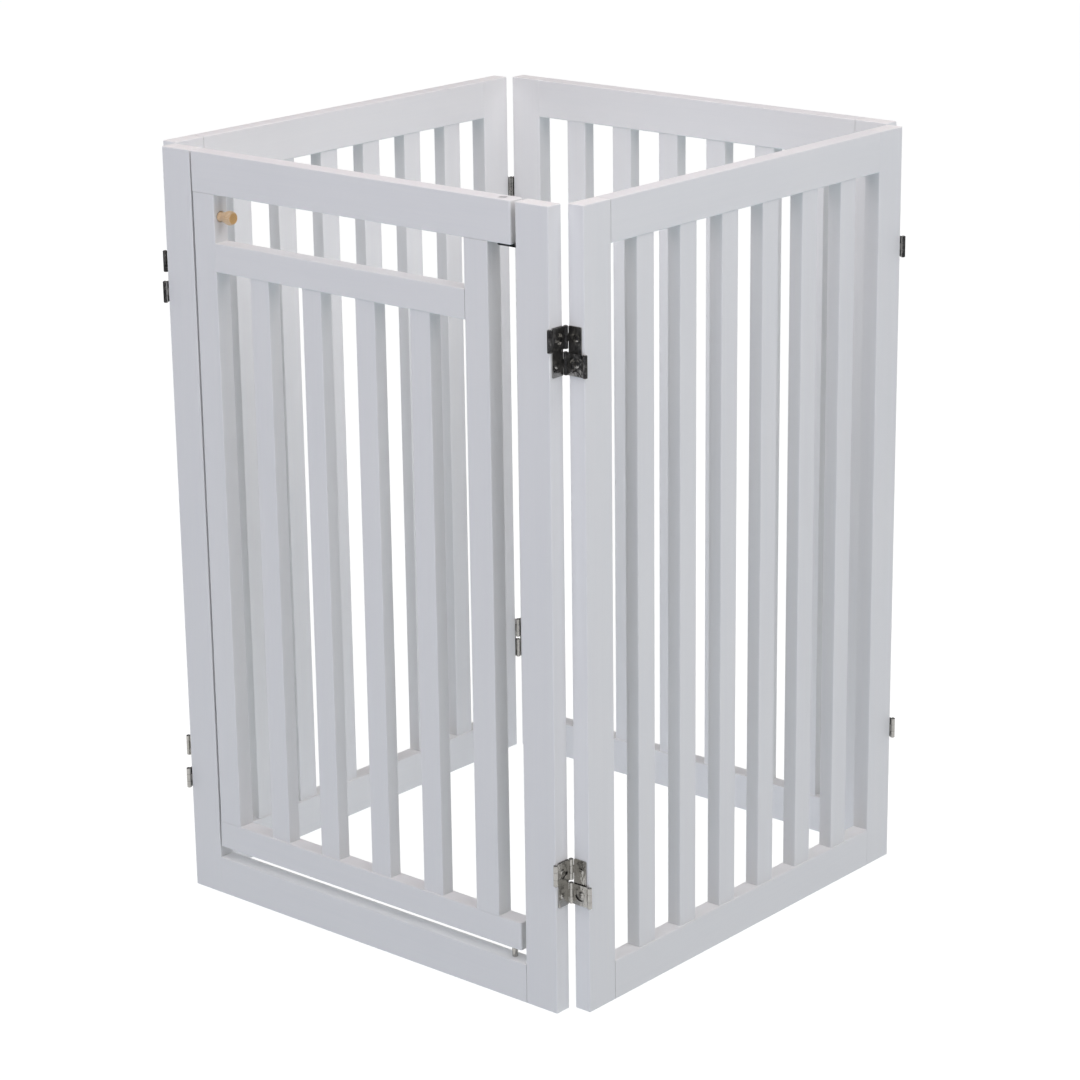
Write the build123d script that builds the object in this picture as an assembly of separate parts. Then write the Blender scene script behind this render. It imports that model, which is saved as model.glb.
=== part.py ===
from build123d import *
import os

# A folding pet pen: four slatted wooden panels, hinged at every corner and closed into a square.
# The front panel, on the -Y side, holds a door that swings outward on two pivot pins.
# Millimetres, +Z up, origin on the floor at the pen's centre.
# Every piece is modelled as if on the front panel; a quarter turn about Z carries it to its own side.

# Panels
PANEL_WIDTH = 515.0
PANEL_HEIGHT = 812.0
THICKNESS = 19.0
POST_WIDTH = 40.0
RAIL_HEIGHT = 42.0
SLAT_WIDTH = 26.0
SLAT_THICKNESS = 16.0
PANEL_SLATS = 6
EDGE_EASE = 1.2
TENON_THICKNESS = 8.0
TENON_LENGTH = 12.0
TENON_SHOULDER = 6.0
SLAT_TENON_LENGTH = 8.0
SLAT_TENON_SHOULDER = 4.0

# Door
DOOR_SLATS = 4
DOOR_CLEARANCE = 2.5
STILE_WIDTH = 30.0
DOOR_RAIL_HEIGHT = 30.0
DOOR_BOTTOM = 55.0
MID_RAIL_BOTTOM = 690.5
PIVOT_STILE_OFFSET = 12.5
HEEL_LENGTH = 16.5
HEEL_ROUND = 2.5

# Door pivot
PIVOT_TO_POST = 22.5
PIVOT_RADIUS = 3.0
PIVOT_ENGAGEMENT = 20.0
PIVOT_HEAD_RADIUS = 4.2
PIVOT_HEAD_HEIGHT = 2.4
PIVOT_HEAD_ROUND = 0.5
PIVOT_HEAD_RECESS = 2.4
RUNNING_CLEARANCE = 0.05
HEAD_CLEARANCE = 0.3
BRACKET_THICKNESS = 2.0
BRACKET_WIDTH = 12.0
BRACKET_LEG = 30.0
BRACKET_GAP = 0.5
BRACKET_SCREWS_BELOW = (9.0, 22.0)

# Door latch
LATCH_HEIGHT = 746.5
LATCH_TRAVEL = 6.5
BOLT_RADIUS = 3.0
BOLT_CHAMFER = 0.8
BOLT_TIP_GAP = 0.5
BOLT_IN_KNOB = 8.0
BOLT_SOCKET_RADIUS = 3.4
BOLT_SOCKET_DEPTH = 8.0
KNOB_BASE_RADIUS = 5.4
KNOB_NECK_RADIUS = 4.7
KNOB_NECK_AT = 3.4
KNOB_COLLAR_RADIUS = 5.5
KNOB_COLLAR_AT = 6.4
KNOB_HEAD_RADIUS = 7.3
KNOB_HEAD_AT = 12.5
KNOB_RIM_RADIUS = 6.6
KNOB_RIM_AT = 17.0
KNOB_END_RADIUS = 5.5
KNOB_END_ROUND = 0.7
KNOB_LENGTH = 18.2
KNOB_RECESS_RADIUS = 5.9

# Double-acting hinges: an inner and an outer axis, each set back from the wood by the same distance
HINGE_SETBACK = 2.1
HINGE_HALF = 24.0
HINGE_CENTRES = (137.0, 673.0)
PLATE_THICKNESS = 1.2
LEAF_WIDTH = 16.0
LEAF_CORNER = 1.5
LEAF_INSET = 0.6
TONGUE_LAP = 1.0
BARREL_RADIUS = 2.4
HINGE_PIN_RADIUS = 1.1
HINGE_PIN_HEAD_RADIUS = 1.7
HINGE_PIN_HEAD_HEIGHT = 0.6
HINGE_PIN_HEAD_ROUND = 0.45
LINK_FOOT = 1.8
KNUCKLE_HEIGHT = 6.8
KNUCKLE_SEAM = 0.2
LINK_NOTCH = 3.0
LINK_HOLE_RADIUS = 6.2

# Countersunk wood screws
SCREW_HEAD_RADIUS = 3.4
SCREW_HEAD_DEPTH = 1.6
SCREW_HEAD_DOME = 0.6
SCREW_RADIUS = 1.75
SCREW_LENGTH = 16.0
SCREW_POINT = 3.0
SCREW_SLOT = (0.8, 4.0, 0.8)

# Places on the front panel
HALF_WIDTH = PANEL_WIDTH / 2
AXIS = HALF_WIDTH + HINGE_SETBACK
INNER_Y = -(AXIS + HINGE_SETBACK)
OUTER_Y = INNER_Y - THICKNESS
MID_Y = (INNER_Y + OUTER_Y) / 2
OUTER_AXIS_Y = OUTER_Y - HINGE_SETBACK
POST_INNER = HALF_WIDTH - POST_WIDTH
TOP_RAIL_BOTTOM = PANEL_HEIGHT - RAIL_HEIGHT
DOOR_LEFT = -POST_INNER + DOOR_CLEARANCE
PIVOT_X = POST_INNER - PIVOT_TO_POST
DOOR_RIGHT = PIVOT_X + HEEL_LENGTH
LATCH_STILE_RIGHT = DOOR_LEFT + STILE_WIDTH
PIVOT_STILE_RIGHT = PIVOT_X - PIVOT_STILE_OFFSET
PIVOT_STILE_LEFT = PIVOT_STILE_RIGHT - STILE_WIDTH
DOOR_BOTTOM_RAIL_TOP = DOOR_BOTTOM + DOOR_RAIL_HEIGHT
MID_RAIL_TOP = MID_RAIL_BOTTOM + DOOR_RAIL_HEIGHT
BRACKET_TOP = TOP_RAIL_BOTTOM - BRACKET_GAP
SIDES = ("front", "right", "back", "left")

nodes = {}


# Shared shapes

def block(x, y, z):
    """A plain box from (low, high) pairs."""
    sizes = [high - low for low, high in (x, y, z)]
    middle = [(high + low) / 2 for low, high in (x, y, z)]
    return Pos(*middle) * Box(*sizes)


def through(thickness):
    """The (low, high) pair across the panel for something centred in its thickness."""
    return (MID_Y - thickness / 2, MID_Y + thickness / 2)


def board(x, z, thickness=THICKNESS, ends_eased=False):
    """A planed board of the front panel, with its long edges eased, and its ends too if they show."""
    body = block(x, through(thickness), z)
    grain = Axis.Z if z[1] - z[0] > x[1] - x[0] else Axis.X
    edges = body.edges() if ends_eased else body.edges().filter_by(grain)
    return fillet(edges, EDGE_EASE)


def rail_tenon(x_face, direction, z):
    """The tongue on a rail's end, from the shoulder at x_face into the post."""
    ends = sorted((x_face, x_face + direction * TENON_LENGTH))
    return block(ends, through(TENON_THICKNESS), (z[0] + TENON_SHOULDER, z[1] - TENON_SHOULDER))


def upright_tenon(x, z_face, direction):
    """The tongue on an upright's end, from the shoulder at z_face into the rail."""
    ends = sorted((z_face, z_face + direction * SLAT_TENON_LENGTH))
    return block((x[0] + SLAT_TENON_SHOULDER, x[1] - SLAT_TENON_SHOULDER), through(TENON_THICKNESS), ends)


def spaced(left, right, count, width):
    """The (low, high) pairs of count slats, evenly spaced between two uprights."""
    gap = (right - left - count * width) / (count + 1)
    starts = [left + gap + index * (gap + width) for index in range(count)]
    return [(start, start + width) for start in starts]


def rod_z(radius, x, y, z):
    """A round rod along Z."""
    return Pos(x, y, (z[0] + z[1]) / 2) * Cylinder(radius, z[1] - z[0])


def rod_x(radius, x, y, z):
    """A round rod along X."""
    return Pos((x[0] + x[1]) / 2, y, z) * Rot(0, 90, 0) * Cylinder(radius, x[1] - x[0])


def turned(outline):
    """A turned solid about Z from (radius, height) points, closed on the axis."""
    points = [(radius, 0, height) for radius, height in outline]
    return revolve(make_face(Polyline(*points, close=True)), Axis.Z)


def screw_body():
    """A countersunk screw up to its seat at z = 0, pointing down."""
    return turned([
        (0, 0),
        (SCREW_HEAD_RADIUS, 0),
        (SCREW_RADIUS, -SCREW_HEAD_DEPTH),
        (SCREW_RADIUS, SCREW_POINT - SCREW_LENGTH),
        (0, -SCREW_LENGTH),
    ])


def screw():
    """A raised countersunk screw with a cross recess in its domed head."""
    curve = (SCREW_HEAD_RADIUS**2 + SCREW_HEAD_DOME**2) / (2 * SCREW_HEAD_DOME)
    rim = Pos(0, 0, SCREW_HEAD_DOME / 2) * Cylinder(SCREW_HEAD_RADIUS, SCREW_HEAD_DOME)
    dome = rim & Pos(0, 0, SCREW_HEAD_DOME - curve) * Sphere(curve)
    width, length, depth = SCREW_SLOT
    slot = Pos(0, 0, SCREW_HEAD_DOME) * Box(width, length, 2 * depth)
    return screw_body() + dome - slot - Rot(0, 0, 90) * slot


def facing(sign, x, z):
    """The place of a screw at mid-thickness whose head faces +X (sign 1) or -X (sign -1)."""
    return Location(Plane(origin=(x, MID_Y, z), z_dir=(sign, 0, 0)))


def group(shapes):
    """Separate solids that share one node."""
    return Compound(children=list(shapes))


def on_side(side, shape):
    """A piece of the front panel, turned round to another side of the pen."""
    return Rot(0, 0, 90 * SIDES.index(side)) * shape


def half_turn(shape, z_centre):
    """A hinge piece of the panel's right end, turned over to its left end."""
    return Pos(0, 0, z_centre) * Rot(0, 180, 0) * Pos(0, 0, -z_centre) * shape


# Double-acting hinge pieces, at the front panel's right end and about z = 0

def barrel(y, z):
    """One knuckle, before its bore."""
    return rod_z(BARREL_RADIUS, AXIS, y, z)


def pin_bores():
    """The bores of the inner and outer axes, for every knuckle of one hinge."""
    reach = (-HINGE_HALF, HINGE_HALF)
    radius = HINGE_PIN_RADIUS + RUNNING_CLEARANCE
    return rod_z(radius, AXIS, -AXIS, reach) + rod_z(radius, AXIS, OUTER_AXIS_Y, reach)


def knuckle_heights():
    """The lower link knuckle, the leaf knuckle and the upper link knuckle of the hinge's upper half."""
    top = HINGE_HALF - HINGE_PIN_HEAD_HEIGHT
    low = (LINK_FOOT, LINK_FOOT + KNUCKLE_HEIGHT)
    high = (top - KNUCKLE_HEIGHT, top)
    return low, (low[1] + KNUCKLE_SEAM, high[0] - KNUCKLE_SEAM), high


def screw_heights():
    """The heights of a leaf's two screws about the hinge's centre."""
    bottom, top = knuckle_heights()[1]
    centre = (bottom + top) / 2
    return (-centre, centre)


def hinge_leaf():
    """The screwed leaf: an outer knuckle in its upper half and an inner knuckle in its lower half."""
    plate_x = (HALF_WIDTH, HALF_WIDTH + PLATE_THICKNESS)
    plate_y = (INNER_Y - LEAF_WIDTH, INNER_Y - LEAF_INSET)
    plate = block(plate_x, plate_y, (-HINGE_HALF, HINGE_HALF))
    plate = fillet(plate.edges().filter_by(Axis.X), LEAF_CORNER)
    upper = knuckle_heights()[1]
    lower = (-upper[1], -upper[0])
    outer_tongue = block(plate_x, (OUTER_AXIS_Y, plate_y[0] + TONGUE_LAP), upper)
    inner_tongue = block(plate_x, (plate_y[1] - TONGUE_LAP, -AXIS), lower)
    leaf = plate + outer_tongue + barrel(OUTER_AXIS_Y, upper) + inner_tongue + barrel(-AXIS, lower)
    leaf -= pin_bores()
    for height in screw_heights():
        leaf -= facing(1, HALF_WIDTH + PLATE_THICKNESS, height) * screw_body()
    return leaf


def hinge_link():
    """The half-height plate that joins the two axes, with a round hole over the screw behind it."""
    low, _, high = knuckle_heights()
    plate_x = (AXIS - PLATE_THICKNESS / 2, AXIS + PLATE_THICKNESS / 2)
    link = block(plate_x, (OUTER_AXIS_Y, -AXIS), (low[0], high[1]))
    notch_x = (AXIS - LINK_NOTCH, AXIS + LINK_NOTCH)
    for y in (-AXIS, OUTER_AXIS_Y):
        link -= block(notch_x, (y - LINK_NOTCH, y + LINK_NOTCH), (low[1], high[0]))
        link += barrel(y, low) + barrel(y, high)
    hole = rod_x(LINK_HOLE_RADIUS, plate_x, (OUTER_AXIS_Y - AXIS) / 2, screw_heights()[1])
    return link - hole - pin_bores()


def hinge_pin(y):
    """A captive pin of the upper half: a shank with a domed head riveted on each end."""
    low, _, high = knuckle_heights()
    pin = rod_z(HINGE_PIN_RADIUS, AXIS, y, (low[0], high[1]))
    for face, direction in ((low[0], -1), (high[1], 1)):
        ends = sorted((face, face + direction * HINGE_PIN_HEAD_HEIGHT))
        head = rod_z(HINGE_PIN_HEAD_RADIUS, AXIS, y, ends)
        rim = head.edges().filter_by(GeomType.CIRCLE).sort_by(Axis.Z)[-1 if direction > 0 else 0]
        pin += fillet(rim, HINGE_PIN_HEAD_ROUND)
    return pin


def hinge_set(make_piece):
    """One kind of hinge piece at both heights and both ends of a panel."""
    pieces = []
    for z_centre in HINGE_CENTRES:
        right_end = Pos(0, 0, z_centre) * make_piece()
        pieces += [right_end, half_turn(right_end, z_centre)]
    return pieces


def hinge_screw_places():
    """The places of the eight screws that hold a panel's hinge leaves."""
    places = []
    for z_centre in HINGE_CENTRES:
        for height in screw_heights():
            for sign in (1, -1):
                places.append(facing(sign, sign * (HALF_WIDTH + PLATE_THICKNESS), z_centre + height))
    return places


def add_hinges(side):
    """The hinge pieces that one panel carries."""
    inner_pins = hinge_set(lambda: hinge_pin(-AXIS))
    outer_pins = hinge_set(lambda: hinge_pin(OUTER_AXIS_Y))
    screws = [place * screw() for place in hinge_screw_places()]
    nodes[f"{side}_hinge_leaves"] = on_side(side, group(hinge_set(hinge_leaf)))
    nodes[f"{side}_hinge_links"] = on_side(side, group(hinge_set(hinge_link) + inner_pins + outer_pins))
    nodes[f"{side}_hinge_screws"] = on_side(side, group(screws))


# Wooden panels

def drilled_posts():
    """A panel's two full-height posts, left then right, with their hinge screw holes."""
    posts = []
    for ends in ((-HALF_WIDTH, -POST_INNER), (POST_INNER, HALF_WIDTH)):
        posts.append(board(ends, (0, PANEL_HEIGHT), ends_eased=True))
    for place in hinge_screw_places():
        index = 1 if place.position.X > 0 else 0
        posts[index] -= place * screw_body()
    return posts


def fixed_rail(z):
    """A rail between the posts, and the space that its two tenons take."""
    tenons = rail_tenon(POST_INNER, 1, z) + rail_tenon(-POST_INNER, -1, z)
    return board((-POST_INNER, POST_INNER), z) + tenons, tenons


def slat(x, z):
    """A slat between two rails, and the space that its two tenons take."""
    tenons = upright_tenon(x, z[0], -1) + upright_tenon(x, z[1], 1)
    return board(x, z, SLAT_THICKNESS) + tenons, tenons


def add_plain_panel(side):
    """A panel of two posts, two rails and six slats."""
    posts = drilled_posts()
    top_rail, top_tenons = fixed_rail((TOP_RAIL_BOTTOM, PANEL_HEIGHT))
    bottom_rail, bottom_tenons = fixed_rail((0, RAIL_HEIGHT))
    for index, ends in enumerate(spaced(-POST_INNER, POST_INNER, PANEL_SLATS, SLAT_WIDTH), 1):
        piece, tenons = slat(ends, (RAIL_HEIGHT, TOP_RAIL_BOTTOM))
        top_rail -= tenons
        bottom_rail -= tenons
        nodes[f"{side}_slat_{index}"] = on_side(side, piece)
    for index, post in enumerate(posts, 1):
        nodes[f"{side}_post_{index}"] = on_side(side, post - top_tenons - bottom_tenons)
    nodes[f"{side}_top_rail"] = on_side(side, top_rail)
    nodes[f"{side}_bottom_rail"] = on_side(side, bottom_rail)


def add_front_frame():
    """The door's frame: two posts and a bottom rail, open at the top."""
    latch_post, pivot_post = drilled_posts()
    rail, tenons = fixed_rail((0, RAIL_HEIGHT))
    socket_x = (-POST_INNER - BOLT_SOCKET_DEPTH, -POST_INNER)
    latch_post -= tenons + rod_x(BOLT_SOCKET_RADIUS, socket_x, MID_Y, LATCH_HEIGHT)
    pivot_post -= tenons
    for place in bracket_screw_places():
        pivot_post -= place * screw_body()
    nodes["front_post_1"] = latch_post
    nodes["front_post_2"] = pivot_post
    nodes["front_bottom_rail"] = rail - bottom_pivot_pin()


# Door pivot

def bracket_screw_places():
    """The places of the two screws that hold the bracket to the post."""
    face = POST_INNER - BRACKET_THICKNESS
    return [facing(-1, face, BRACKET_TOP - BRACKET_THICKNESS - drop) for drop in BRACKET_SCREWS_BELOW]


def pivot_bracket():
    """An angle bracket: a round-ended shelf under the door's heel and a leg down the post's side."""
    across = through(BRACKET_WIDTH)
    shelf_z = (BRACKET_TOP - BRACKET_THICKNESS, BRACKET_TOP)
    bracket = block((PIVOT_X, POST_INNER), across, shelf_z)
    bracket += rod_z(BRACKET_WIDTH / 2, PIVOT_X, MID_Y, shelf_z)
    leg_x = (POST_INNER - BRACKET_THICKNESS, POST_INNER)
    bracket += block(leg_x, across, (BRACKET_TOP - BRACKET_LEG, BRACKET_TOP))
    bracket -= rod_z(PIVOT_RADIUS, PIVOT_X, MID_Y, shelf_z)
    for place in bracket_screw_places():
        bracket -= place * screw_body()
    return bracket


def top_pin_head_height():
    """The (low, high) pair of the top pin's head, sunk in the door's top rail."""
    top = PANEL_HEIGHT - PIVOT_HEAD_RECESS
    return (top - PIVOT_HEAD_HEIGHT, top)


def top_pivot_pin():
    """A headed pin, through the door's top rail into the bracket."""
    head_z = top_pin_head_height()
    head = rod_z(PIVOT_HEAD_RADIUS, PIVOT_X, MID_Y, head_z)
    head = fillet(head.edges().filter_by(GeomType.CIRCLE).sort_by(Axis.Z)[-1], PIVOT_HEAD_ROUND)
    return head + rod_z(PIVOT_RADIUS, PIVOT_X, MID_Y, (BRACKET_TOP - BRACKET_THICKNESS, head_z[0]))


def bottom_pivot_pin():
    """A plain pin, fixed in the frame's bottom rail, that carries the door's weight on its end."""
    ends = (RAIL_HEIGHT - PIVOT_ENGAGEMENT, DOOR_BOTTOM + PIVOT_ENGAGEMENT)
    return rod_z(PIVOT_RADIUS, PIVOT_X, MID_Y, ends)


def pivot_bores():
    """The running bores and the head's counterbore in the door's rails."""
    radius = PIVOT_RADIUS + RUNNING_CLEARANCE
    blind_end = DOOR_BOTTOM + PIVOT_ENGAGEMENT + RUNNING_CLEARANCE
    bottom = rod_z(radius, PIVOT_X, MID_Y, (DOOR_BOTTOM, blind_end))
    top = rod_z(radius, PIVOT_X, MID_Y, (TOP_RAIL_BOTTOM, PANEL_HEIGHT))
    head_space = (top_pin_head_height()[0] - RUNNING_CLEARANCE, PANEL_HEIGHT)
    return bottom + top + rod_z(PIVOT_HEAD_RADIUS + HEAD_CLEARANCE, PIVOT_X, MID_Y, head_space)


# Door

def door_rail(z):
    """A full-width door rail, rounded at the heel so that it clears the post as the door turns."""
    body = block((DOOR_LEFT, DOOR_RIGHT), through(THICKNESS), z)
    heel = body.edges().filter_by(Axis.Z).sort_by(Axis.X)[-2:]
    body = fillet(heel, HEEL_ROUND)
    faces = body.faces().sort_by(Axis.Z)
    return fillet(faces[0].edges() + faces[-1].edges(), EDGE_EASE)


def add_door():
    """The door: three rails, two stiles and four slats."""
    top_rail = door_rail((TOP_RAIL_BOTTOM, PANEL_HEIGHT)) - pivot_bores()
    bottom_rail = door_rail((DOOR_BOTTOM, DOOR_BOTTOM_RAIL_TOP)) - pivot_bores()
    mid_z = (MID_RAIL_BOTTOM, MID_RAIL_TOP)
    mid_tenons = rail_tenon(LATCH_STILE_RIGHT, -1, mid_z) + rail_tenon(PIVOT_STILE_LEFT, 1, mid_z)
    mid_rail = board((LATCH_STILE_RIGHT, PIVOT_STILE_LEFT), mid_z) + mid_tenons

    stile_z = (DOOR_BOTTOM_RAIL_TOP, TOP_RAIL_BOTTOM)
    stiles = {
        "door_latch_stile": (DOOR_LEFT, LATCH_STILE_RIGHT),
        "door_pivot_stile": (PIVOT_STILE_LEFT, PIVOT_STILE_RIGHT),
    }
    for name, ends in stiles.items():
        tenons = upright_tenon(ends, stile_z[0], -1) + upright_tenon(ends, stile_z[1], 1)
        top_rail -= tenons
        bottom_rail -= tenons
        nodes[name] = board(ends, stile_z) + tenons - mid_tenons
    nodes["door_latch_stile"] -= bolt_way()

    slats = spaced(LATCH_STILE_RIGHT, PIVOT_STILE_LEFT, DOOR_SLATS, SLAT_WIDTH)
    for index, ends in enumerate(slats, 1):
        piece, tenons = slat(ends, (DOOR_BOTTOM_RAIL_TOP, MID_RAIL_BOTTOM))
        mid_rail -= tenons
        bottom_rail -= tenons
        nodes[f"door_slat_{index}"] = piece
    nodes["door_top_rail"] = top_rail
    nodes["door_mid_rail"] = mid_rail
    nodes["door_bottom_rail"] = bottom_rail


# Door latch: at rest the bolt is drawn back, with its tip just clear of the post

def bolt_way():
    """The running bore through the latch stile and the recess that takes the knob's base."""
    bore = rod_x(BOLT_RADIUS + RUNNING_CLEARANCE, (DOOR_LEFT, LATCH_STILE_RIGHT), MID_Y, LATCH_HEIGHT)
    recess_x = (LATCH_STILE_RIGHT - LATCH_TRAVEL - HEAD_CLEARANCE, LATCH_STILE_RIGHT)
    return bore + rod_x(KNOB_RECESS_RADIUS, recess_x, MID_Y, LATCH_HEIGHT)


def latch_bolt():
    """The steel bolt, from its chamfered tip beside the post to its end inside the knob."""
    ends = (-POST_INNER + BOLT_TIP_GAP, LATCH_STILE_RIGHT + BOLT_IN_KNOB)
    bolt = rod_x(BOLT_RADIUS, ends, MID_Y, LATCH_HEIGHT)
    return chamfer(bolt.edges().filter_by(GeomType.CIRCLE).sort_by(Axis.X)[0], BOLT_CHAMFER)


def latch_knob():
    """A turned knob: a flared base, a neck, a swelling head with a rounded rim, and a socket for the bolt."""
    profile = Spline(
        (KNOB_BASE_RADIUS, 0, 0),
        (KNOB_NECK_RADIUS, 0, KNOB_NECK_AT),
        (KNOB_COLLAR_RADIUS, 0, KNOB_COLLAR_AT),
        (KNOB_HEAD_RADIUS, 0, KNOB_HEAD_AT),
        (KNOB_RIM_RADIUS, 0, KNOB_RIM_AT),
    )
    inside = Polyline(
        (KNOB_RIM_RADIUS, 0, KNOB_RIM_AT),
        (KNOB_END_RADIUS, 0, KNOB_LENGTH),
        (0, 0, KNOB_LENGTH),
        (0, 0, BOLT_IN_KNOB),
        (BOLT_RADIUS, 0, BOLT_IN_KNOB),
        (BOLT_RADIUS, 0, 0),
        (KNOB_BASE_RADIUS, 0, 0),
    )
    knob = revolve(make_face(Curve() + [profile, inside]), Axis.Z)
    corners = knob.edges().filter_by(GeomType.CIRCLE).sort_by(Axis.Z)[-2:]
    knob = fillet(corners, KNOB_END_ROUND)
    return Pos(LATCH_STILE_RIGHT, MID_Y, LATCH_HEIGHT) * Rot(0, 90, 0) * knob


add_front_frame()
add_door()
for side_name in SIDES[1:]:
    add_plain_panel(side_name)
for side_name in SIDES:
    add_hinges(side_name)
nodes["pivot_bracket"] = pivot_bracket()
nodes["pivot_bracket_screws"] = group(place * screw() for place in bracket_screw_places())
nodes["top_pivot_pin"] = top_pivot_pin()
nodes["bottom_pivot_pin"] = bottom_pivot_pin()
nodes["latch_bolt"] = latch_bolt()
nodes["latch_knob"] = latch_knob()

os.makedirs("parts", exist_ok=True)
for name, shape in nodes.items():
    export_step(shape, f"parts/{name}.step")
print(len(nodes), "nodes")
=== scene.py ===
"""The looks of a folding pet pen: white lacquered wood, plated steel and a turned knob. Metres, +Z up."""

import math

import bpy
from mathutils import Matrix, Vector


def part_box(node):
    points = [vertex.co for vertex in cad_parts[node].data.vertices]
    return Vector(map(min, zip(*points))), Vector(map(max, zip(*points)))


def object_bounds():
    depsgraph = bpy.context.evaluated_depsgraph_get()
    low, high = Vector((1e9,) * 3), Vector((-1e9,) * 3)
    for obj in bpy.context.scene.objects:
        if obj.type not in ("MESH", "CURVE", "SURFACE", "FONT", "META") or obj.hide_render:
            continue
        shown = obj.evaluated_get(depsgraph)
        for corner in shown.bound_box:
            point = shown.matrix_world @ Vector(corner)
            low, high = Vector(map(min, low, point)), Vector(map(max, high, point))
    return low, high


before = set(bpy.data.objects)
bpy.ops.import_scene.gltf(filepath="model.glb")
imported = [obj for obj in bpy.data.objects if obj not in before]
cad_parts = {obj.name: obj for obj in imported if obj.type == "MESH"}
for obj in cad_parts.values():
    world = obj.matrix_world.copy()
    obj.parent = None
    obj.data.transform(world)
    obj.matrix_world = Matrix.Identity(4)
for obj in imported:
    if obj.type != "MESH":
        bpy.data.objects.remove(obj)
cad_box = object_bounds()

# The camera: angles in degrees, distance and shifts of its aim in metres, lens in millimetres
AZIMUTH = 40.771
ELEVATION = 17.346
ROLL = -0.751
DISTANCE = 3.4084
LENS = 106.526
AIM_ACROSS = 0.00114
AIM_DOWN = 0.03093

# The studio, in metres
FLOOR_SIZE = 60.0
FLOOR_COLOUR = (0.10, 0.10, 0.10)
FLOOR_GLOW = 0.985
SURROUND_RADIUS = 1.6
SURROUND_HEIGHT = 2.0
SURROUND_COLOUR = (0.012, 0.012, 0.016)
BACKDROP_COLOUR = (1.0, 1.0, 1.0)

# Soft lights far away: azimuth from the front and elevation in degrees, then strength in red, green and blue.
# Those below the horizon stand in for the light that a pale floor throws back up.
FAR_LIGHT_ANGLE = 50.0
FAR_LIGHTS = {
    "front": (0, 45, (0.20, 0.28, 0.30)),
    "left": (270, 12, (0.90, 0.90, 0.90)),
    "back_left": (225, 12, (0.70, 0.70, 0.70)),
    "back": (180, 12, (0.72, 0.73, 0.74)),
    "floor": (0, -90, (0.85, 1.17, 1.27)),
    "floor_front": (0, -25, (0.74, 0.77, 0.89)),
    "floor_right": (90, -25, (0.60, 0.61, 0.66)),
    "floor_back": (180, -25, (1.24, 1.34, 1.44)),
    "floor_left": (270, -25, (0.50, 0.50, 0.50)),
}

# Round soft boxes: azimuth, elevation, distance and diameter, then watts in red, green and blue
SOFT_BOX_AIM = (0.0, 0.0, 0.4)
SOFT_BOXES = {
    "front_box": (0, 45, 4.0, 3.7, (67.0, 61.2, 63.4)),
    "right_box": (90, 45, 4.0, 3.7, (93.0, 92.2, 94.6)),
    "top_box": (0, 90, 1.5, 1.0, (3.2, 2.5, 2.6)),
}

# Colours of the lacquer: the clouds' two ends, the soft bands of the grain and the raised fibres
LACQUER_COOL = (0.790, 0.792, 0.796)
LACQUER_WARM = (0.815, 0.813, 0.808)
LACQUER_BANDS = (0.775, 0.778, 0.782)
LACQUER_FIBRES = (0.83, 0.826, 0.818)
END_PORES = (0.74, 0.735, 0.72)
END_GRAIN = (0.83, 0.826, 0.816)

# Colours of the knob
BEECH_DARK = (0.66, 0.46, 0.27)
BEECH_LIGHT = (0.84, 0.63, 0.41)
BEECH_RINGS = (0.62, 0.38, 0.18)
BEECH_FLECKS = (0.52, 0.30, 0.14)
BEECH_END_DARK = (0.62, 0.35, 0.12)
BEECH_END_LIGHT = (0.86, 0.52, 0.20)

# The steels
BRIGHT_STEEL = (0.44, 0.43, 0.405)
BRIGHT_ROUGHNESS = 0.20
# The dark steel is a darker steel colour on the pivot bracket. On the top pivot pin it is painted shade: it
# darkens the pin's head as the shade down its recess would.
DARK_STEEL_AND_PAINTED_SHADE = (0.16, 0.16, 0.165)
DARK_ROUGHNESS = 0.28
WORN_SHARE = 0.80
DARK_STEEL_AND_PAINTED_SHADE_NODES = ("pivot_bracket", "top_pivot_pin")
BRIGHT_STEEL_WORDS = ("hinge", "pin", "screws", "bolt")

# How far the boards' patterns are moved at most, in metres, so that no two look alike
BOARD_SHIFT = 7.0

# Depths of the bumps in metres
BAND_DEPTH = 0.00012
FIBRE_DEPTH = 0.00003
PEEL_DEPTH = 0.000008
DENT_DEPTH = 0.0009
RUBBED_DEPTH = 0.0000025
PIT_DEPTH = 0.000002
KNOB_FIBRE_DEPTH = 0.00002
KNOB_RING_DEPTH = 0.00001

# Where the growth rings' middle lies, from the middle of the knob
PITH_OFFSET = (0.0, 0.006, -0.011)

# The Mix node's two inputs and its output, for numbers and for colours
NUMBER_SOCKETS = (2, 3, 0)
COLOUR_SOCKETS = (6, 7, 2)


# Node trees

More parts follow.
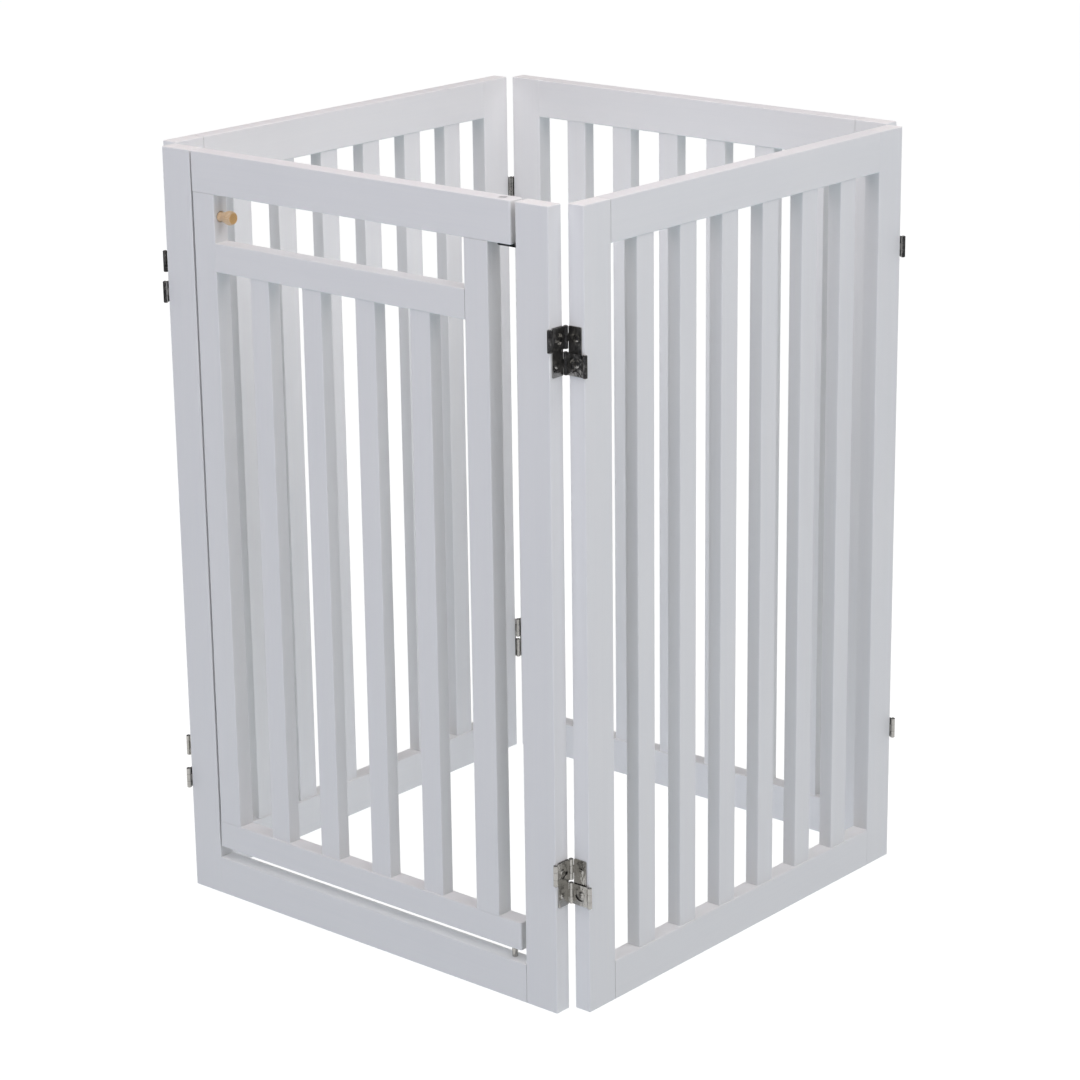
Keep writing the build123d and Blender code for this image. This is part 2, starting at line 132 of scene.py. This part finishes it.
class Shader:
    """The node tree of one material."""

    def __init__(self, name):
        self.material = bpy.data.materials.new(name)
        self.material.use_nodes = True
        self.tree = self.material.node_tree
        self.surface = self.tree.nodes["Principled BSDF"]

    def put(self, node, socket, value):
        """Sets a node's input to a number or colour, or links it to another node's output."""
        if isinstance(value, bpy.types.NodeSocket):
            self.tree.links.new(value, node.inputs[socket])
        elif isinstance(value, tuple) and len(node.inputs[socket].default_value) == 4:
            node.inputs[socket].default_value = (*value, 1.0)
        else:
            node.inputs[socket].default_value = value

    def set(self, **inputs):
        """Sets inputs of the surface shader, named with underscores for spaces."""
        for socket, value in inputs.items():
            self.put(self.surface, socket.replace("_", " ").title().replace("Ior", "IOR"), value)

    def node(self, kind, inputs=(), **settings):
        """Adds a node with its inputs and settings."""
        made = self.tree.nodes.new("ShaderNode" + kind)
        for setting, value in settings.items():
            setattr(made, setting, value)
        for socket, value in dict(inputs).items():
            self.put(made, socket, value)
        return made

    def place(self, scale=(1.0, 1.0, 1.0), centre=None):
        """Places in the piece's own frame, scaled along each axis.

        They are measured from the centre, or with no centre from a random place, so that no two boards match.
        """
        place = self.node("TexCoord").outputs["Object"]
        if centre:
            moved = self.node("VectorMath", {0: place, 1: centre}, operation="SUBTRACT").outputs[0]
        else:
            chance = self.node("ObjectInfo").outputs["Random"]
            shift = self.node("CombineXYZ", {0: chance, 1: chance, 2: chance}).outputs[0]
            far = self.node("VectorMath", {0: shift, "Scale": BOARD_SHIFT}, operation="SCALE").outputs[0]
            moved = self.node("VectorMath", {0: place, 1: far}, operation="ADD").outputs[0]
        return self.node("VectorMath", {0: moved, 1: scale}, operation="MULTIPLY").outputs[0]

    def noise(self, vector, scale, detail, distortion=0.0):
        """Noise from about 0.3 to 0.7."""
        inputs = {"Vector": vector, "Scale": scale, "Detail": detail, "Distortion": distortion}
        return self.node("TexNoise", inputs).outputs["Fac"]

    def spread(self, value, low, high, start=0.3, end=0.7):
        """Maps a value between start and end to the range from low to high."""
        inputs = {"Value": value, "From Min": start, "From Max": end, "To Min": low, "To Max": high}
        return self.node("MapRange", inputs).outputs["Result"]

    def facing(self, axis):
        """1 where the surface faces along an axis of the piece, either way, and 0 elsewhere."""
        normal = self.node("TexCoord").outputs["Normal"]
        part = self.node("SeparateXYZ", {0: normal}).outputs["XYZ".index(axis)]
        size = self.node("Math", {0: part}, operation="ABSOLUTE").outputs[0]
        return self.spread(size, 0.0, 1.0, start=0.80, end=0.95)

    def blend(self, factor, first, second):
        """A colour between two."""
        low, high, result = COLOUR_SOCKETS
        inputs = {"Factor": factor, low: first, high: second}
        return self.node("Mix", inputs, data_type="RGBA").outputs[result]

    def mix(self, factor, first, second):
        """A number between two."""
        low, high, result = NUMBER_SOCKETS
        inputs = {"Factor": factor, low: first, high: second}
        return self.node("Mix", inputs).outputs[result]

    def bump(self, height, depth, below=None):
        """Bumps of the given depth in metres, on top of other bumps."""
        made = self.node("Bump", {"Height": height, "Distance": depth, "Strength": 1.0})
        if below:
            self.put(made, "Normal", below)
        return made.outputs["Normal"]


# Materials

def stretched(axis, along, across):
    """Scales for something drawn out along one axis."""
    return tuple(along if name == axis else across for name in "XYZ")


def lacquer(name, grain):
    """White satin lacquer sprayed on planed pine, whose grain runs along the given axis."""
    shader = Shader(name)
    bands = shader.noise(shader.place(stretched(grain, 2.2, 55.0)), scale=1.0, detail=3.0, distortion=0.6)
    fibres = shader.noise(shader.place(stretched(grain, 10.0, 420.0)), scale=1.0, detail=4.0, distortion=0.2)
    clouds = shader.noise(shader.place(), scale=7.0, detail=2.0)
    peel = shader.noise(shader.place(), scale=650.0, detail=2.0)
    pores = shader.noise(shader.place(), scale=1500.0, detail=3.0)
    end = shader.facing(grain)

    tone = shader.blend(shader.spread(clouds, 0.0, 1.0), LACQUER_COOL, LACQUER_WARM)
    tone = shader.blend(shader.spread(bands, 0.0, 0.5), tone, LACQUER_BANDS)
    tone = shader.blend(shader.spread(fibres, 0.0, 0.35), tone, LACQUER_FIBRES)
    pored = shader.blend(shader.spread(pores, 0.0, 1.0), END_PORES, END_GRAIN)
    shader.set(base_color=shader.blend(end, tone, pored))

    satin = shader.spread(fibres, low=0.44, high=0.54)
    sawn = shader.spread(pores, low=0.55, high=0.75)
    shader.set(roughness=shader.mix(end, satin, sawn))
    normal = shader.bump(bands, BAND_DEPTH)
    normal = shader.bump(fibres, FIBRE_DEPTH, normal)
    shader.set(normal=shader.bump(peel, PEEL_DEPTH, normal))
    return shader.material


def steel(name, colour, roughness):
    """Plated sheet steel with slight dents, smears, fine rubbing marks and tiny pits."""
    shader = Shader(name)
    dents = shader.noise(shader.place(), scale=130.0, detail=2.0)
    smears = shader.noise(shader.place(), scale=140.0, detail=3.0, distortion=0.4)
    rubbed = shader.noise(shader.place(stretched("Z", 250.0, 3200.0)), scale=1.0, detail=2.0)
    pits = shader.noise(shader.place(), scale=2400.0, detail=2.0)

    worn = tuple(WORN_SHARE * channel for channel in colour)
    tone = shader.blend(shader.spread(smears, 0.0, 1.0), worn, colour)
    shader.set(base_color=shader.blend(shader.spread(rubbed, 0.0, 0.3), tone, worn))
    shader.set(roughness=shader.spread(smears, low=0.75 * roughness, high=1.35 * roughness), metallic=1.0)
    normal = shader.bump(dents, DENT_DEPTH)
    normal = shader.bump(rubbed, RUBBED_DEPTH, normal)
    shader.set(normal=shader.bump(pits, PIT_DEPTH, normal))
    return shader.material


def turned_wood(name):
    """Clear-varnished beech turned about X, with growth rings and end grain on the knob's face."""
    shader = Shader(name)
    low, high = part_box("latch_knob")
    pith = (low + high) / 2 + Vector(PITH_OFFSET)
    rings = shader.node("TexWave", {
        "Vector": shader.place(centre=tuple(pith)),
        "Scale": 230.0,
        "Distortion": 1.4,
        "Detail": 2.0,
        "Detail Scale": 0.4,
    }, wave_type="RINGS", rings_direction="X").outputs["Fac"]
    fibres = shader.noise(shader.place(stretched("X", 160.0, 2600.0)), scale=1.0, detail=3.0)
    flecks = shader.noise(shader.place(stretched("X", 500.0, 1800.0)), scale=1.0, detail=1.0)
    end = shader.facing("X")

    side = shader.blend(shader.spread(fibres, 0.0, 1.0), BEECH_DARK, BEECH_LIGHT)
    side = shader.blend(shader.spread(rings, 0.0, 0.35, start=0.0, end=1.0), side, BEECH_RINGS)
    side = shader.blend(shader.spread(flecks, 0.0, 0.5, start=0.62, end=0.72), side, BEECH_FLECKS)
    face = shader.blend(shader.spread(rings, 0.0, 1.0, start=0.0, end=1.0), BEECH_END_DARK, BEECH_END_LIGHT)
    shader.set(base_color=shader.blend(end, side, face))
    shader.set(roughness=shader.spread(fibres, low=0.30, high=0.44), coat_weight=0.25, coat_roughness=0.2)
    normal = shader.bump(fibres, KNOB_FIBRE_DEPTH)
    shader.set(normal=shader.bump(rings, KNOB_RING_DEPTH, normal))
    return shader.material


def paint(name, material):
    """Gives a CAD node a material."""
    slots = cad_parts[name].data.materials
    slots.clear()
    slots.append(material)


def grain_of(name):
    """The axis of a node's longest side, which is the way its grain runs."""
    low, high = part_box(name)
    size = high - low
    return "XYZ"[max(range(3), key=lambda axis: size[axis])]


def dress():
    """Every CAD node's own material."""
    woods = {axis: lacquer("white_lacquer_" + axis.lower(), axis) for axis in "XYZ"}
    bright = steel("bright_steel", BRIGHT_STEEL, BRIGHT_ROUGHNESS)
    # The dark steel is painted shade on the top pivot pin, darkening its head as if shaded in its recess. On
    # the pivot bracket it is only a darker steel colour.
    dark = steel("dark_steel", DARK_STEEL_AND_PAINTED_SHADE, DARK_ROUGHNESS)
    knob = turned_wood("turned_beech")
    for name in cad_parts:
        if name == "latch_knob":
            paint(name, knob)
        elif name in DARK_STEEL_AND_PAINTED_SHADE_NODES:
            paint(name, dark)
        elif any(word in name for word in BRIGHT_STEEL_WORDS):
            paint(name, bright)
        else:
            paint(name, woods[grain_of(name)])


# Studio

def direction(azimuth, elevation):
    """The unit vector towards an azimuth from the front, turning to +X, and an elevation, in degrees."""
    azimuth, elevation = math.radians(azimuth), math.radians(elevation)
    level = Vector((math.sin(azimuth), -math.cos(azimuth), 0.0))
    return math.cos(elevation) * level + math.sin(elevation) * Vector((0.0, 0.0, 1.0))


def add_camera():
    """The camera, aimed at the middle of the pen but for small shifts across and down."""
    back = direction(AZIMUTH, ELEVATION)
    level = direction(AZIMUTH + 90.0, 0.0)
    upright = back.cross(level)
    roll = math.radians(ROLL)
    right = math.cos(roll) * level + math.sin(roll) * upright
    up = math.cos(roll) * upright - math.sin(roll) * level
    centre = (cad_box[0] + cad_box[1]) / 2
    place = centre + AIM_ACROSS * right - AIM_DOWN * up + DISTANCE * back
    data = bpy.data.cameras.new("camera")
    data.lens = LENS
    camera = bpy.data.objects.new("camera", data)
    camera.matrix_world = Matrix.Translation(place) @ Matrix((right, up, back)).transposed().to_4x4()
    bpy.context.scene.collection.objects.link(camera)
    bpy.context.scene.camera = camera


def add_floor():
    """The pale floor. The lights stand in for what it would throw back up, so it adds none itself."""
    bpy.ops.mesh.primitive_plane_add(size=FLOOR_SIZE)
    floor = bpy.context.object
    floor.name = "floor"
    shader = Shader("floor")
    shader.set(base_color=FLOOR_COLOUR, roughness=0.9, specular_ior_level=0.0)
    shader.set(emission_color=(1.0, 1.0, 1.0), emission_strength=FLOOR_GLOW)
    floor.data.materials.append(shader.material)
    floor.visible_diffuse = False
    floor.visible_shadow = False


def add_surround():
    """Dark screens round the pen, seen only in the metal's and the lacquer's reflections."""
    bpy.ops.mesh.primitive_cylinder_add(
        radius=SURROUND_RADIUS,
        depth=SURROUND_HEIGHT,
        location=(0.0, 0.0, SURROUND_HEIGHT / 2),
        end_fill_type="NOTHING",
        vertices=96,
    )
    surround = bpy.context.object
    surround.name = "surround"
    shader = Shader("surround")
    shader.set(base_color=(0.0, 0.0, 0.0), roughness=1.0, specular_ior_level=0.0)
    shader.set(emission_color=SURROUND_COLOUR, emission_strength=1.0)
    surround.data.materials.append(shader.material)
    surround.visible_camera = False
    surround.visible_diffuse = False
    surround.visible_shadow = False


def add_light(name, kind, azimuth, elevation, strengths):
    """A lamp that shines from the given direction towards the pen."""
    data = bpy.data.lights.new(name, kind)
    data.energy = max(strengths)
    data.color = [strength / data.energy for strength in strengths]
    light = bpy.data.objects.new(name, data)
    light.rotation_mode = "QUATERNION"
    light.rotation_quaternion = direction(azimuth, elevation).to_track_quat("Z", "Y")
    light.visible_camera = False
    bpy.context.scene.collection.objects.link(light)
    return light


def add_lights():
    """The far lights and the soft boxes."""
    for name, (azimuth, elevation, strengths) in FAR_LIGHTS.items():
        light = add_light(name, "SUN", azimuth, elevation, strengths)
        light.data.angle = math.radians(FAR_LIGHT_ANGLE)
    for name, (azimuth, elevation, distance, diameter, strengths) in SOFT_BOXES.items():
        light = add_light(name, "AREA", azimuth, elevation, strengths)
        light.location = Vector(SOFT_BOX_AIM) + distance * direction(azimuth, elevation)
        light.data.shape = "DISK"
        light.data.size = diameter


def add_world():
    """A white backdrop behind the pen and a dim room in its reflections, which adds no light of its own."""
    world = bpy.data.worlds.new("studio")
    bpy.context.scene.world = world
    world.use_nodes = True
    tree = world.node_tree
    rays = tree.nodes.new("ShaderNodeLightPath")
    low, high, result = COLOUR_SOCKETS
    seen_by = {}
    for kind, colour in (("Is Glossy Ray", SURROUND_COLOUR), ("Is Camera Ray", BACKDROP_COLOUR)):
        choice = tree.nodes.new("ShaderNodeMix")
        choice.data_type = "RGBA"
        choice.inputs[low].default_value = (0.0, 0.0, 0.0, 1.0)
        choice.inputs[high].default_value = (*colour, 1.0)
        tree.links.new(rays.outputs[kind], choice.inputs["Factor"])
        seen_by[kind] = choice
    tree.links.new(seen_by["Is Glossy Ray"].outputs[result], seen_by["Is Camera Ray"].inputs[low])
    tree.links.new(seen_by["Is Camera Ray"].outputs[result], tree.nodes["Background"].inputs["Color"])


bpy.context.scene.view_settings.view_transform = "Standard"
dress()
add_camera()
add_floor()
add_surround()
add_lights()
add_world()
